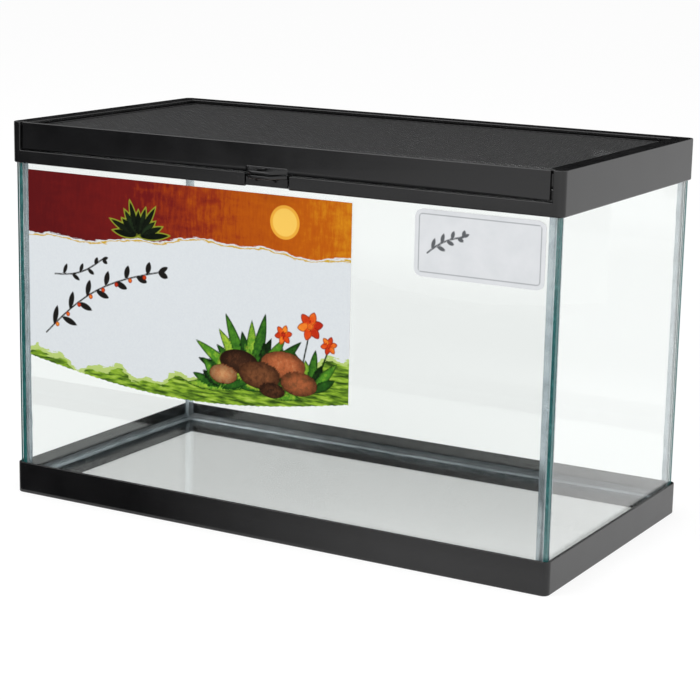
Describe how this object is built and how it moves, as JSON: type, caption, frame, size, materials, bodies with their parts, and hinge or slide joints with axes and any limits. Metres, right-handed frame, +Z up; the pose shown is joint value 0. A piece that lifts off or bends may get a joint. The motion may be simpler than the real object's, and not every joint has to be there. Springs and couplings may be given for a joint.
{
  "type": "glass terrarium with sliding screen lid",
  "caption": "Rectangular glass terrarium in black plastic frames, with a front-sliding metal screen lid and a lockable front catch.",
  "frame": {"origin": "under the middle of the box that holds the whole object, on the surface it stands on", "axes": "+X to the right along the tank's length, +Y from the front to the back, +Z up"},
  "size_m": [0.411, 0.2234, 0.262],
  "materials": {
    "black_plastic": "satin moulded",
    "clear_glass": "clear float glass with green edges",
    "clear_silicone": "clear, smooth",
    "printed_label": "satin printed card",
    "pale_sticker": "matt",
    "black_coated_aluminium": "satin coated",
    "nylon_key": "moulded",
    "black_coated_screen": "coated woven wire",
    "rubber_spline": "matt"
  },
  "bodies": {
    "tank": {"base_frame": "black_plastic", "base_frame_bed": "clear_silicone", "bottom_pane": "clear_glass", "front_pane": "clear_glass", "back_pane": "clear_glass", "left_pane": "clear_glass", "right_pane": "clear_glass", "corner_seal_front_left": "clear_silicone", "corner_seal_front_right": "clear_silicone", "corner_seal_back_left": "clear_silicone", "corner_seal_back_right": "clear_silicone", "floor_seal_front": "clear_silicone", "floor_seal_back": "clear_silicone", "floor_seal_left": "clear_silicone", "floor_seal_right": "clear_silicone", "top_frame_bed": "clear_silicone", "top_frame": "black_plastic", "front_label": "printed_label", "size_sticker": "pale_sticker"},
    "catch": {"catch": "black_plastic"},
    "lid": {"lid_front_rail": "black_plastic", "lid_rear_rail": "black_coated_aluminium", "lid_left_rail": "black_coated_aluminium", "lid_right_rail": "black_coated_aluminium", "corner_key_rear_left": "nylon_key", "corner_key_rear_right": "nylon_key", "corner_key_front_left": "nylon_key", "corner_key_front_right": "nylon_key", "screen_mesh": "black_coated_screen", "spline_front": "rubber_spline", "spline_rear": "rubber_spline", "spline_left": "rubber_spline", "spline_right": "rubber_spline"}
  },
  "joints": [
    {"name": "lid_slide", "type": "slide", "parent": "tank", "child": "lid", "axis": [0, -1, 0], "range_m": [0, 0.18]},
    {"name": "catch_flex", "type": "hinge", "parent": "tank", "child": "catch", "pos_m": [0, -0.09525, 0.2421], "axis": [1, 0, 0], "range_deg": [0, 6], "stiffness_Nm_per_rad": 1, "springref_deg": -1.15}
  ]
}
